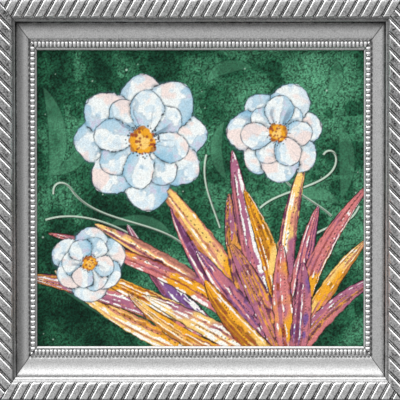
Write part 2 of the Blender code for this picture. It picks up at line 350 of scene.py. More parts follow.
def rib_relief(phase, across):
    """Height against the band's top, patina, and how far inside a rib's face, at a phase of one rib's
    pitch and a share across the band."""
    side = RIB_FOOT * RIB_PITCH - np.abs(phase - 0.5) * RIB_PITCH
    end = (1 - across) * RIB_LENGTH
    beside = np.minimum(phase, 1 - phase) * RIB_PITCH
    bulge = np.sqrt(np.clip(1 - (beside / CORD_HALF) ** 2, 0, 1))
    turn = across * CORD_TURNS + np.where(phase < 0.5, phase, phase - 1) * CORD_SLANT
    twist = np.sin(2 * np.pi * turn)
    cord = np.minimum(end / END_BEVEL, 1.0) * bulge
    height = -BEVEL_DROP * (1 - rib_rise(phase, side, end)) + (CORD_RISE + CORD_TWIST * twist) * cord
    face = ease(side, SIDE_BEVEL + 0.0001, SIDE_BEVEL + 0.0008) * ease(end, 0.0008, 0.0024)
    crease = ease(beside, 0.4 * CORD_HALF, 0.9 * CORD_HALF) * (1 - ease(side, 0.0001, 0.0005))
    worn = 0.08 + 1.25 * across**1.4 * (1 - across) ** 0.9
    edge = 0.5 * (1 - ease(across, 0.02, 0.10))
    patina = worn * face + 1.2 * crease + (0.38 - 0.10 * twist) * cord + edge
    return height, patina, face


def gadroon_mesh(name, rail):
    """The ribbed band: a closed slab whose front is a grid that leans with the ribs."""
    pitch = 2 * HALF / rail.ribs
    half = np.array(HALF_RIB)
    phases = np.concatenate([half, [0.5], 1 - half[:0:-1]])
    shares = np.concatenate([ROUNDED_EDGE, np.linspace(0.14, 0.80, 24), np.linspace(0.83, 1.0, 18)])
    numbers = np.arange(-SPARE_RIBS, rail.ribs + SPARE_RIBS)
    phase = np.tile(phases, len(numbers))
    start = -HALF + (np.repeat(numbers, len(phases)) + phase) * pitch
    grid_phase, grid_share = np.meshgrid(phase, shares)
    relief, dark, face = rib_relief(grid_phase, grid_share)
    # painted shade: the ribs' faces darkened along the rail, most on the side rails
    dark = dark + face * np.interp(start, (-HALF, HALF), rail.tarnish)
    fade = np.clip(0.4 + grid_share / 0.02, 0, 1)
    points = np.zeros((len(shares) + 2, len(start), 3))
    points[1:-1, :, 0] = start - RIB_LEAN * pitch * grid_share
    points[1:-1, :, 1] = BACK_Y - band_top(grid_share) - relief * fade
    points[1:-1, :, 2] = HALF - BAND_END * rail.width * grid_share
    points[0] = points[1]
    points[-1] = points[-2]
    points[(0, -1), :, 1] = BACK_Y - BED + SLAB_DEPTH
    index = grid_index(*points.shape[:2])
    faces = grid_faces(index) + [index[-1].tolist() + index[0, ::-1].tolist()]
    patina = np.concatenate([dark[:1], dark, dark[-1:]])
    unfold = np.repeat(np.concatenate([[0.0], 0.02 + 0.96 * shares, [1.0]]), len(start))
    mesh = new_mesh(name, points.reshape(-1, 3), faces, patina=patina, unfold=unfold)
    return cut_and_place(mesh, rail, sharp=70, strips=5)


def ball(segments, rings):
    """Points and faces of a unit ball with its poles on Y."""
    polar, turn = np.meshgrid(
        math.pi * np.arange(1, rings) / rings, 2 * math.pi * np.arange(segments) / segments, indexing="ij"
    )
    around = np.stack([np.sin(polar) * np.cos(turn), -np.cos(polar), np.sin(polar) * np.sin(turn)], -1)
    points = np.concatenate([[(0.0, -1.0, 0.0)], around.reshape(-1, 3), [(0.0, 1.0, 0.0)]])
    faces = ring_faces(rings - 1, segments, 1)
    for pole, first in ((0, 1), (len(points) - 1, len(points) - 1 - segments)):
        faces += [(pole, first + i, first + (i + 1) % segments) for i in range(segments)]
    return points, faces


BEAD_PLACE = 0.8850
BEAD_HALF = 0.0700  # of the rail's width
BEAD_MIDDLE = 0.0140  # height of its middle
BEAD_RISE = 0.0034
BEAD_FILL = 0.485  # half a bead's length, in pitches
BEAD_POWERS = (0.9, 0.9, 0.44)  # below 1 is fuller than a ball: along the rail, forward, across
BEAD_DIRT = (0.0131, 0.0151)  # heights that the dirt round a bead starts to fade at and ends at


def beads_mesh(name, rail):
    """The row of beads, each an oval as long as its pitch and as wide as its channel."""
    pitch = 2 * HALF / rail.beads
    reach = HALF - BEAD_PLACE * rail.other_width
    count = int(2 * reach / pitch) + 2
    unit, unit_faces = ball(20, 12)
    unit = np.sign(unit) * np.abs(unit) ** np.array(BEAD_POWERS)
    bead = unit * np.array([BEAD_FILL * pitch, BEAD_RISE, BEAD_HALF * rail.width])
    row = (BACK_Y - BEAD_MIDDLE, HALF - BEAD_PLACE * rail.width)
    places = [((index - (count - 1) / 2) * pitch, *row) for index in range(count)]
    points, faces = joined([(bead + np.array(place), unit_faces) for place in places])
    patina = 1 - ease(BACK_Y - points[:, 1], *BEAD_DIRT)
    mesh = new_mesh(name, points, faces, patina=patina)
    return cut_and_place(mesh, rail, sharp=60)


# ---- materials

SILVER = (0.73, 0.73, 0.73)
BRIGHT_SILVER = (0.88, 0.88, 0.88)  # the beads, rubbed cleaner than the rest
DIRT = (0.022, 0.022, 0.022)
WOOD_COLORS = ((0.30, 0.185, 0.10), (0.52, 0.37, 0.23))


def new_material(name):
    """A new material, its node tree and its shader."""
    material = bpy.data.materials.new(name)
    material.use_nodes = True
    return material, material.node_tree, material.node_tree.nodes["Principled BSDF"]


def set_inputs(node, inputs):
    """Gives a node's inputs their constants, or other nodes' outputs."""
    for key, value in dict(inputs).items():
        if isinstance(value, bpy.types.NodeSocket):
            node.id_data.links.new(value, node.inputs[key])
        else:
            node.inputs[key].default_value = value


def add_node(tree, kind, output, inputs=(), **properties):
    """One output of a new node with these inputs and properties."""
    node = tree.nodes.new("ShaderNode" + kind)
    for key, value in properties.items():
        setattr(node, key, value)
    set_inputs(node, inputs)
    return node.outputs[output]


def math_node(tree, operation, *values):
    """The outcome of an operation on constants and other nodes' outputs."""
    return add_node(tree, "Math", "Value", enumerate(values), operation=operation)


def add_noise(tree, scale, detail, roughness, stretch=(1, 1, 1)):
    """Noise over the object, drawn out along an axis where its stretch is under 1."""
    coords = add_node(tree, "TexCoord", "Object")
    place = add_node(tree, "Mapping", "Vector", {"Vector": coords, "Scale": stretch})
    inputs = {"Vector": place, "Scale": scale, "Detail": detail, "Roughness": roughness}
    return add_node(tree, "TexNoise", "Fac", inputs)


def add_ramp(tree, value, stops):
    """A value's colour, between two stops that are each a position and a colour."""
    tone = add_node(tree, "ValToRGB", "Color", {"Fac": value})
    for element, (position, color) in zip(tone.node.color_ramp.elements, stops):
        element.position = position
        element.color = (*color, 1)
    return tone


def add_bump(tree, shader, height, strength, distance):
    """Roughens a shader's surface by another node's height."""
    inputs = {"Strength": strength, "Distance": distance, "Height": height}
    set_inputs(shader, {"Normal": add_node(tree, "Bump", "Normal", inputs)})


def silver_material(name, color, mottle):
    """Silver that the patina on each point darkens, with specks and blotches as strong as its mottle;
    besides real patina, that value holds painted shade on the ribs and is thinned as painted light where
    the moulding faces up.
    """
    material, tree, shader = new_material(name)
    patina = add_node(tree, "Attribute", "Fac", attribute_name="patina")
    blotch = add_noise(tree, 170, 4, 0.6)
    speck = add_noise(tree, 820, 2, 0.6)
    patchy = math_node(tree, "MULTIPLY_ADD", blotch, 1.1 + 1.8 * mottle, 0.5 - 0.9 * mottle)
    spots = math_node(tree, "MULTIPLY_ADD", speck, 1.0 + 1.8 * mottle, -0.5 - 0.9 * mottle)
    dark = math_node(tree, "MULTIPLY_ADD", patina, patchy, spots)
    dark.node.use_clamp = True
    tone = add_ramp(tree, dark, ((0.0, color), (1.0, DIRT)))
    rough = math_node(tree, "MULTIPLY_ADD", dark, 0.1, math_node(tree, "MULTIPLY_ADD", speck, 0.16, 0.22))
    set_inputs(shader, {"Base Color": tone, "Specular Tint": tone, "Roughness": rough, "Metallic": 0.96})
    add_bump(tree, shader, speck, 0.35, 0.00012 + 0.0006 * mottle)
    return material


def speckled_material(name, colors, scale, stretch, roughness, metallic=0.0, bump_distance=0.0001):
    """Two colours mixed by noise, with roughness and bump from the same noise."""
    material, tree, shader = new_material(name)
    noise = add_noise(tree, scale, 5, 0.6, stretch)
    tone = add_ramp(tree, noise, zip((0.32, 0.68), colors))
    rough = math_node(tree, "MULTIPLY_ADD", noise, 0.2, roughness - 0.1)
    set_inputs(shader, {"Base Color": tone, "Roughness": rough, "Metallic": metallic})
    add_bump(tree, shader, noise, 0.4, bump_distance)
    return material


# ---- the painting on the print
# A watercolour built up in layers on a grid of points over the paper, in millimetres from its middle.
# Places on it are complex numbers: across to the right, and up as the imaginary part.

CELL = 0.6
TO_MM = 1000
DARK_GREEN = (4, 42, 28)
MIDDLE_GREEN = (32, 86, 60)
LIGHT_GREEN = (84, 148, 114)
SPATTER_GREEN = (196, 222, 206)
SHOOT_GREEN = (206, 226, 208)
PAPER_WHITE = (248, 248, 243)
ICE = (204, 224, 235)
POOL_BLUE = (146, 192, 216)
DEEP_BLUE = (96, 146, 178)
SHADOW_BLUE = (70, 104, 112)
VEIN_BLUE = (70, 84, 110)
LILAC = (206, 190, 216)
BLUSH = (242, 210, 200)
GOLD = (236, 166, 40)
PALE_GOLD = (248, 206, 118)
OCHRE = (184, 118, 36)
MAUVE = (172, 104, 132)
ROSE = (212, 126, 126)
PLUM = (104, 50, 84)
VIOLET = (126, 88, 146)
RUST = (156, 74, 46)
INK = (24, 22, 26)


def linear(color):
    """A display colour, 0 to 255, as linear light."""
    share = np.array(color) / 255
    return np.where(share <= 0.04045, share / 12.92, ((share + 0.055) / 1.055) ** 2.4)


def blend(canvas, region, color, strength):
    """Lays a colour over part of the canvas, as strong at each point as given."""
    strength = np.clip(strength, 0, 1)[..., None]
    canvas[region] = canvas[region] * (1 - strength) + color * strength


def cloud(across, down, size, seed, octaves=3):
    """A soft random field from about -1 to 1, with features of a given size."""
    total = np.zeros_like(across)
    weight = 0.0
    for octave in range(octaves):
        step = size / 2**octave
        x, y = across / step, down / step
        x, y = x - x.min(), y - y.min()
        column, row = x.astype(int), y.astype(int)
        fx, fy = ease(x - column, 0, 1), ease(y - row, 0, 1)
        lattice = np.random.default_rng(seed + octave).uniform(-1, 1, (row.max() + 2, column.max() + 2))
        near = lattice[row, column] * (1 - fx) + lattice[row, column + 1] * fx
        far = lattice[row + 1, column] * (1 - fx) + lattice[row + 1, column + 1] * fx
        total += (near * (1 - fy) + far * fy) * 0.55**octave
        weight += 0.55**octave
    return 1.5 * total / weight


def bezier(points, count):
    """Points and unit tangents along a cubic curve, and its length."""
    t = np.linspace(0, 1, count)
    a, b, c, d = points
    place = a * (1 - t) ** 3 + 3 * b * t * (1 - t) ** 2 + 3 * c * t**2 * (1 - t) + d * t**3
    slope = 3 * ((b - a) * (1 - t) ** 2 + 2 * (c - b) * t * (1 - t) + (d - c) * t**2)
    return place, slope / np.abs(slope), np.abs(slope).mean()


class Paper:
    """The grid of points, its random fields, and the paint on it."""

    def __init__(self, half_width, half_height):
        columns = int(2 * half_width / CELL) + 1
        rows = int(2 * half_height / CELL) + 1
        self.across, self.up = np.meshgrid(
            np.linspace(-half_width, half_width, columns), np.linspace(-half_height, half_height, rows)
        )
        self.spot = self.across + 1j * self.up
        self.broad, self.middle, self.fine, self.grain = (
            cloud(self.across, self.up, *look) for look in ((70, 11), (22, 21), (6, 31), (1.2, 41, 2))
        )
        self.paint = np.zeros((rows, columns, 3)) + linear(PAPER_WHITE)

    def near(self, places, reach):
        """The part of the grid round one place or more, as slices."""
        columns = np.searchsorted(self.across[0], (places.real.min() - reach, places.real.max() + reach))
        rows = np.searchsorted(self.up[:, 0], (places.imag.min() - reach, places.imag.max() + reach))
        return slice(*rows), slice(*columns)

    def lay(self, region, color, strength):
        """Paints a display colour over a part of the grid."""
        blend(self.paint, region, linear(color), strength)

    def fill(self, form, color, grain):
        """Paints a form with its own colour at each point, which the paper's grain breaks up."""
        blend(self.paint, form.region, color * (1 + grain * self.grain[form.region])[..., None], form.cover)

    def follow(self, curve, reach, samples=48):
        """The part of the grid near a curve, and there the share along it and the distance to its left."""
        place, tangent, length = bezier(curve, samples)
        region = self.near(place, reach)
        index = np.abs(self.spot[region][..., None] - place).argmin(-1)
        offset = (self.spot[region] - place[index]) / tangent[index]
        return region, index / (samples - 1) + offset.real / length, offset.imag


def wash(paper):
    """The green ground: pools of dark and light, with pale blooms that dried with a hard edge."""
    brushed = cloud(paper.across / 3.5, paper.up, size=3.0, seed=51, octaves=2)
    tone = 0.50 + 0.46 * paper.broad + 0.20 * paper.middle + 0.04 * paper.fine + 0.05 * brushed
    tone += 0.16 * ease(paper.across + 0.5 * paper.up, -60, 200)
    tone -= 0.16 * ease(-paper.up - 0.3 * paper.across, 10, 150)
    bloom = paper.middle - 0.5 * paper.broad + 0.10 * paper.fine + 0.04 * paper.grain
    dried = 1 - ease(np.abs(bloom - 0.50), 0.0, 0.08)
    tone += 0.14 * ease(bloom, 0.52, 0.58) - 0.10 * dried
    pool = paper.middle + 0.12 * paper.fine
    tone -= 0.20 * ease(-pool, 0.42, 0.47)
    tone = 0.46 + 0.49 * np.tanh(2.1 * (tone - 0.5))
    dark, middle, light = linear(DARK_GREEN), linear(MIDDLE_GREEN), linear(LIGHT_GREEN)
    low = np.clip(2 * tone, 0, 1)[..., None]
    high = np.clip(2 * tone - 1, 0, 1)[..., None]
    paper.paint[:] = dark + (middle - dark) * low + (light - middle) * high
    paper.paint *= np.clip(1 + 0.95 * paper.grain, 0.2, 2)[..., None]


class Form:
    """A long form about a curve: its part of the paper, and there the share along, the share across
    (1 at its edges), half its width, its cover, and the paper's wandering and rippling fields."""

    def __init__(self, paper, curve, half_width, power, fullness):
        self.region, self.along, left = paper.follow(curve, half_width * 1.3 + 2)
        self.wander = paper.middle[self.region]
        self.ripple = paper.fine[self.region]
        self.width = half_width * np.sin(np.pi * np.clip(self.along, 0.001, 0.999) ** power) ** fullness
        wobbling = self.width * (1 + 0.10 * self.ripple)
        self.side = left / np.maximum(wobbling, 0.2)
        self.inside = (self.along > 0) * (self.along < 1)
        self.cover = (1 - ease(np.abs(left) - wobbling, -0.45, 0.45)) * self.inside


def strands(side, along, count, seed):
    """Streaks that run along a form and wander a little, from 0 to 1."""
    table = np.random.default_rng(seed).uniform(0, 1, 64)
    place = (side + 1.2) * count / 2 + 0.8 * np.sin(5 * along + seed)
    index = np.clip(place, 0, len(table) - 3)
    whole = index.astype(int)
    part = ease(index - whole, 0, 1)
    return table[whole] * (1 - part) + table[whole + 1] * part


def ghost(paper, curve, half_width, strength):
    """A pale form that was lifted out of the wet ground, with a darker line where its edge dried."""
    form = Form(paper, curve, half_width, 1.0, 0.7)
    soft = 0.55 + 0.45 * ease(form.wander, -0.4, 0.4)
    paper.lay(form.region, LIGHT_GREEN, strength * form.cover * soft)
    rim = (1 - ease(np.abs(np.abs(form.side) - 1) * form.width, 0.2, 1.0)) * form.inside
    paper.lay(form.region, DARK_GREEN, 0.45 * rim * (form.ripple > -0.3))


def ink_edge(paper, form, seed, strength):
    """A broken pen line along both edges of a form."""
    distance = np.abs(np.abs(form.side) - 1) * form.width
    table = np.random.default_rng(seed).uniform(0, 1, 40)
    place = np.clip(form.along, 0, 1) * 30 + (form.side > 0) * 4.5
    pressure = np.interp(place, np.arange(len(table)), table)
    line = 1 - ease(distance, 0.25, 0.40 + 0.55 * pressure)
    line = line * (form.along > 0.01) * (form.along < 0.99) * ease(pressure, 0.22, 0.42)
    paper.lay(form.region, INK, strength * line)


def leaf_color(form, streak, tones):
    """A strap leaf's paint: streaks of a few tones, some of bare paper."""
    first, second, deep, other = (linear(tone) for tone in tones)
    mix = ease(form.along + 0.40 * form.wander + 0.22 * form.side, 0.30, 0.62)[..., None]
    color = first + (second - first) * mix
    color = color + (other - color) * (0.8 * ease(streak + 0.3 * form.wander, 0.52, 0.62))[..., None]
    dark = 0.85 * ease(streak + 0.15 * form.ripple, 0.74, 0.84) + 0.25 * ease(np.abs(form.side), 0.7, 1.0)
    color = color + (deep - color) * np.clip(dark + 0.16 * form.ripple, 0, 1)[..., None]
    bare = ease(0.21 - streak + 0.22 * form.ripple, 0.03, 0.09) * (np.abs(form.side) < 0.92)
    return color + (linear(PAPER_WHITE) - color) * 0.92 * bare[..., None]


def leaf(paper, curve, half_width, tones, seed):
    """A strap leaf, with pen between its streaks and along its edges, and a row of ticks down it."""
    form = Form(paper, curve, half_width, 0.80, 0.55)
    streak = strands(form.side + 0.10 * form.ripple, form.along, 10, seed)
    paper.fill(form, leaf_color(form, streak, tones), 0.14)
    line = 1 - ease(np.abs(streak - 0.62), 0.02, 0.10)
    paper.lay(form.region, INK, 0.55 * form.cover * line * (form.wander + form.ripple > -0.2))
    ticks = np.abs(((form.along * 42 + 0.6 * form.side) % 1) - 0.5) < 0.16
    row = np.abs(form.side - 0.4 * np.sin(6 * form.along + seed)) * form.width < 0.6
    ticks = ticks * row * (form.along > 0.1) * (form.wander > -0.3)
    paper.lay(form.region, INK, 0.8 * form.cover * ticks)
    ink_edge(paper, form, seed, 0.9)


def petal_curve(middle, angle, reach, bend):
    """A petal's middle line, out from its blossom's middle, with its tip bent aside."""
    out = reach * np.exp(1j * angle)
    return [middle + out * step for step in (0.05, 0.35, 0.70 + 1j * bend, 1.05 + 1j * bend)]


def petal_color(form, lean):
    """A petal's paint: pale, pooled blue towards one side and the throat, with a hard dried edge."""
    wander, ripple = form.wander, form.ripple
    pool = form.side * lean + 0.50 * wander + 0.16 * ripple + 0.7 * (0.5 - form.along)
    wet = ease(pool, 0.10, 0.20)
    dried = 1 - ease(np.abs(pool - 0.12), 0.0, 0.07)
    rim = np.maximum(ease(np.abs(form.side) + 0.06 * ripple, 0.86, 0.98), ease(form.along, 0.93, 0.985))
    color = np.zeros(pool.shape + (3,)) + linear(PAPER_WHITE)
    for paint, strength in (
        (ICE, 0.30 + 0.5 * ease(ripple, -0.2, 0.5)),
        (BLUSH, 0.60 * ease(-pool, 0.22, 0.50) * ease(-wander, -0.1, 0.2)),
        (POOL_BLUE, wet * (0.55 + 0.4 * ease(pool, 0.2, 0.9))),
        (LILAC, 0.55 * wet * ease(-ripple, 0.2, 0.5)),
        (DEEP_BLUE, 0.40 * dried + 0.40 * rim),
    ):
        blend(color, ..., linear(paint), strength)
    return color


def petal(paper, middle, angle, reach, half_width, seed):
    """One petal over its own shadow, with veins from its throat and pen round its edge."""
    rng = np.random.default_rng(seed)
    curve = petal_curve(middle, angle, reach, rng.uniform(-0.18, 0.18))
    form = Form(paper, curve, half_width, 1.45, 0.62)
    along, side = form.along, np.abs(form.side)
    shadow = (1 - ease((side - 1) * form.width, 0.0, 3.2)) * (side > 1) * (along > 0.1) * (along < 1.0)
    paper.lay(form.region, SHADOW_BLUE, 0.55 * shadow)
    paper.fill(form, petal_color(form, rng.choice((-0.6, 0.6))), 0.05)
    throat = ease(along, 0.1, 0.2) * (1 - ease(along, 0.5, 0.75))
    vein = ease(strands(form.side, along, 9, seed), 0.80, 0.95) * throat
    paper.lay(form.region, VEIN_BLUE, 0.5 * form.cover * vein)
    ink_edge(paper, form, seed + 5, 0.85)
    tip = (1 - ease(np.abs(along - 0.985 - 0.02 * form.ripple) * reach, 0.3, 0.9)) * (side < 1.05)
    paper.lay(form.region, INK, 0.7 * tip)


def dots(paper, centres, radii, color, strength):
    """Small round touches of the brush."""
    for centre, radius in zip(centres, radii):
        region = paper.near(centre, radius + 1)
        touch = 1 - ease(np.abs(paper.spot[region] - centre), radius - 0.5, radius + 0.4)
        paper.lay(region, color, strength * touch)


# a blossom's eye: colour, number of touches, how far they spread and their size as shares of the
# blossom's reach, and the share of the eye's disc that is left free inside
EYE = (
    (OCHRE, 46, 0.19, 0.050, 0.05), (GOLD, 60, 0.16, 0.045, 0.05), (PALE_GOLD, 26, 0.12, 0.028, 0.05),
    (RUST, 24, 0.20, 0.024, 0.05), (INK, 46, 0.27, 0.013, 0.5),
)
SMALLEST_TOUCH = 0.55


def blossom(paper, middle, reach, petals, start, seed):
    """An open flower: two rings of petals about a golden eye with a ring of ink stamens."""
    order = [*range(0, petals, 2), *range(1, petals, 2)]
    for ring, (share, shift) in enumerate(((1.0, 0.0), (0.72, 0.5))):
        for index in order:
            angle = start + 2 * math.pi * (index + shift) / petals
            stretch = share * reach * (1 + 0.10 * math.sin(3 * index + seed))
            petal(paper, middle, angle, stretch, 0.46 * stretch * 6 / petals, seed + 10 * index + ring)
    rng = np.random.default_rng(seed)
    for color, count, spread, size, free in EYE:
        angle = rng.uniform(0, 2 * math.pi, count)
        radius = reach * spread * np.sqrt(rng.uniform(free, 1, count))
        sizes = np.maximum(reach * size * rng.uniform(0.6, 1.3, count), SMALLEST_TOUCH)
        dots(paper, middle + radius * np.exp(1j * angle), sizes, color, 0.9)


def pen_line(paper, curve, half_width, color, strength):
    """One even line along a curve."""
    region, along, left = paper.follow(curve, half_width + 2)
    line = 1 - ease(np.abs(left), half_width - 0.3, half_width + 0.3)
    paper.lay(region, color, strength * line * (along > 0) * (along < 1))


# a leaf's two tones, its dark streaks and its other streaks
LEAF_TONES = (
    (GOLD, PALE_GOLD, OCHRE, ROSE), (MAUVE, ROSE, PLUM, VIOLET), (PALE_GOLD, GOLD, RUST, OCHRE),
    (ROSE, MAUVE, PLUM, GOLD), (GOLD, ROSE, RUST, MAUVE), (MAUVE, PALE_GOLD, PLUM, ROSE),
    (VIOLET, MAUVE, PLUM, ROSE),
)
BASE = 92 - 182j  # where the leaves spring from, off the paper's lower edge
# a leaf's lean from straight up in degrees to the left, its length, half width and droop
LEAVES_BEHIND = (
    (68, 262, 10.0, -0.10), (61, 292, 11.5, 0.10), (52, 226, 10.0, -0.14), (57, 250, 9.0, 0.05),
    (44, 250, 11.0, 0.10), (37, 216, 10.0, -0.08), (48, 280, 8.5, 0.16), (30, 250, 11.5, 0.05),
    (24, 196, 10.0, -0.12), (16, 238, 11.0, -0.04), (9, 196, 10.5, 0.08), (2, 222, 9.5, -0.10),
    (-5, 176, 9.5, -0.06), (-12, 208, 9.0, -0.16), (-20, 158, 8.5, -0.12), (-27, 132, 9.0, -0.20),
)
LEAVES_IN_FRONT = (
    (33, 160, 11.0, 0.02), (20, 150, 11.5, 0.05), (54, 168, 10.5, 0.05), (64, 186, 8.5, -0.10),
    (41, 132, 11.0, -0.06), (6, 136, 10.0, -0.04), (-8, 118, 9.5, 0.06),
)
# a blossom's middle, its reach, petals, turn and seed
BLOSSOMS = (
    (78 + 66j, 47.0, 7, 0.3, 400),
    (-58 + 58j, 66.0, 8, 0.1, 500),
    (-112 - 66j, 36.0, 6, 0.5, 600),
)
# pale leaves in the ground: four points of a curve, and half the width
GHOSTS = (
    ((-152 + 20j, -140 + 40j, -140 + 80j, -158 + 112j), 9.0),
    ((-150 + 24j, -130 + 30j, -118 + 44j, -112 + 60j), 7.0),
    ((8 + 118j, 14 + 132j, 34 + 138j, 52 + 132j), 6.5),
    ((140 - 6j, 124 + 8j, 104 + 8j, 88 + 2j), 7.0),
    ((142 + 0j, 150 + 24j, 150 + 52j, 140 + 76j), 8.0),
    ((-140 - 92j, -120 - 96j, -100 - 108j, -92 - 124j), 7.5),
    ((-30 - 36j, -46 - 22j, -70 - 18j, -92 - 28j), 6.0),
    ((26 + 20j, 14 + 36j, 12 + 58j, 24 + 78j), 6.0),
    ((128 + 100j, 136 + 112j, 140 + 128j, 136 + 140j), 6.5),
)
# fine pale shoots with a pen line beside them: four points of a curve each
SHOOTS = (
    (-6 - 60j, -30 - 20j, -100 - 30j, -128 + 6j), (-128 + 6j, -136 + 20j, -150 + 18j, -148 + 4j),
    (20 - 30j, 10 + 0j, 0 + 18j, 6 + 44j), (60 - 10j, 80 + 10j, 128 + 10j, 136 + 34j),
    (136 + 34j, 140 + 48j, 128 + 52j, 124 + 44j), (110 - 40j, 140 - 20j, 150 - 30j, 160 - 8j),
    (-40 - 60j, -70 - 30j, -120 - 10j, -156 - 22j), (84 + 20j, 96 + 4j, 120 - 6j, 132 - 18j),
)


def leaf_curve(lean, length, droop):
    """A strap leaf's middle line, from the base that all leaves share."""
    out = np.exp(1j * math.radians(90 + lean))
    steps = ((0, -0.2, 0), (0.35, 0.5, -0.6), (0.72, 1, 0), (1, 1, 1))
    return [
        BASE + out * (forward * length + 1j * (0.22 * lean * spread + droop * length * bend))
        for forward, spread, bend in steps
    ]


def paint_leaves(paper, leaves, step, first, seed):
    """A group of leaves, whose tones are picked in steps through the list of tones."""
    for number, (lean, length, half_leaf, droop) in enumerate(leaves):
        tones = LEAF_TONES[(number * step + first) % len(LEAF_TONES)]
        leaf(paper, leaf_curve(lean, length, droop), half_leaf, tones, seed + number)


def scatter(paper, count, seed):
    """Spatter: specks of bare paper and of ink over the ground."""
    rng = np.random.default_rng(seed)
    spots = rng.uniform(-160, 160, count) + 1j * rng.uniform(-145, 145, count)
    sizes = 0.5 + 0.9 * rng.uniform(0, 1, count) ** 3
    dots(paper, spots[: count // 2], sizes, SPATTER_GREEN, 0.7)
    dots(paper, spots[count // 2 :], sizes * 0.8, INK, 0.6)


def paint_print(half_width, half_height):
    """The whole watercolour, from its ground forward."""
    paper = Paper(half_width, half_height)
    wash(paper)
    for curve, half_leaf in GHOSTS:
        ghost(paper, curve, half_leaf, 0.55)
    scatter(paper, 90, 7)
    for curve in SHOOTS:
        pen_line(paper, curve, 0.95, SHOOT_GREEN, 0.85)
        pen_line(paper, [point + 1.1 - 1.1j for point in curve], 0.55, INK, 0.75)
    paint_leaves(paper, LEAVES_BEHIND, step=3, first=0, seed=70)
    for middle, reach, petals, start, seed in BLOSSOMS:
        blossom(paper, middle, reach, petals, start, seed)
    paint_leaves(paper, LEAVES_IN_FRONT, step=2, first=1, seed=90)
    return paper


# ---- the print as an object

PAPER_TONE = 0.86
TOOTH = 0.20  # how much the paper's tooth lightens and darkens the paint


def paper_material():
    """Painted watercolour paper: its colours are stored on the points, its tooth is in the bump."""
    material, tree, shader = new_material("print_paper")
    painted = add_node(tree, "Attribute", "Color", attribute_name="paint")
    tooth = add_noise(tree, 900, 3, 0.5)
    spread = {"From Min": 0.25, "From Max": 0.75}
    tones = {"To Min": (1 - TOOTH) * PAPER_TONE, "To Max": (1 + TOOTH) * PAPER_TONE}
    level = add_node(tree, "MapRange", "Result", {"Value": tooth, **spread, **tones})
    grainy = add_node(tree, "VectorMath", "Vector", {0: painted, "Scale": level}, operation="SCALE")
    set_inputs(shader, {"Base Color": grainy, "Roughness": 0.85, "Specular IOR Level": 0.15})
    add_bump(tree, shader, tooth, 0.15, 0.0002)
    return material


def print_mesh(paper):
    """The sheet of paper: a fine grid in front, and its edges and back."""
    rows, columns = paper.across.shape
    level = np.full_like(paper.up, PRINT_LOW.y)
    front = np.stack([paper.across / TO_MM, level, CENTRE_Z + paper.up / TO_MM], -1).reshape(-1, 3)
    index = grid_index(rows, columns)
    border = np.concatenate([index[0, :-1], index[:-1, -1], index[-1, :0:-1], index[:0:-1, 0]])
    points = np.concatenate([front, front[border] + (0.0, PRINT_HIGH.y - PRINT_LOW.y, 0.0)])
    behind = rows * columns + np.arange(len(border))
    walls = np.stack([border, behind, np.roll(behind, -1), np.roll(border, -1)], axis=1)
    faces = grid_faces(index) + walls.tolist() + [behind[::-1].tolist()]
    mesh = new_mesh("print", points, faces)
    paint = np.ones((len(points), 4), np.float32)
    paint[:, :3] = linear(PAPER_WHITE)
    paint[: rows * columns, :3] = np.clip(paper.paint, 0, 1).reshape(-1, 3)
    layer = mesh.attributes.new("paint", "FLOAT_COLOR", "POINT")
    layer.data.foreach_set("color", paint.ravel())
    lay_out_print(mesh, points[:, (0, 2)], 4 * (rows - 1) * (columns - 1))
    return mesh


def lay_out_print(mesh, flat, front_corners):
    """Lays the sheet out for the bake: its front over most of the square, its edges and back below."""
    share = (flat - flat.min(0)) / np.ptp(flat, axis=0)
    share = share[read_array(mesh.loops, "vertex_index", kind=np.int32)]
    spot = share * (1.0, 0.97) + (0.0, 0.03)
    spot[front_corners:, 1] = 0.02 * share[front_corners:, 1]
    set_layout(mesh, spot)


# ---- the back

# two colours, the noise's scale and stretch, roughness, metallic, and the bump's depth in metres
BACK_MATERIALS = {
    "mount_board": (((0.66, 0.64, 0.58), (0.80, 0.78, 0.73)), 500, (1, 1, 1), 0.85),
    "backing_board": (((0.11, 0.06, 0.033), (0.21, 0.125, 0.07)), 420, (1, 1, 1), 0.6),
    "tab_steel": (((0.34, 0.34, 0.35), (0.60, 0.60, 0.61)), 300, (1, 1, 6), 0.36, 1.0, 0.00003),
    "hanger_zinc": (((0.44, 0.40, 0.30), (0.66, 0.61, 0.48)), 260, (1, 1, 1), 0.36, 1.0, 0.00004),
    "nail_brass": (((0.42, 0.27, 0.08), (0.74, 0.55, 0.24)), 500, (1, 1, 1), 0.34, 1.0),
    "bumper_felt": (((0.030, 0.024, 0.020), (0.105, 0.086, 0.072)), 1600, (1, 1, 1), 0.9, 0.0, 0.0004),
}
# profiles from the wood out to the wall, as shares of the radius and of the height
NAIL_HEAD = ((0.55, 0), (1.0, 0), (1.0, 0.35), (0.93, 0.62), (0.76, 0.84), (0.50, 0.96), (0.20, 1))
BUMPER = ((0.5, 0), (0.97, 0), (1.0, 0.12), (1.0, 0.80), (0.97, 0.93), (0.90, 1), (0.4, 1))
TAB_EDGE = 0.00014
HANGER_EDGE = 0.00018

V_NAIL_LEG = 0.0055
V_NAIL_THICKNESS = 0.0008  # along the mitre
V_NAIL_SPLAY = 0.75  # of a leg along the mitre, against 1 across it
V_NAIL_PROUD = 0.0001
V_NAIL_DEPTH = 0.002
V_NAIL_PLACES = (0.42, 0.72)  # shares of the rail's width from its outer edge


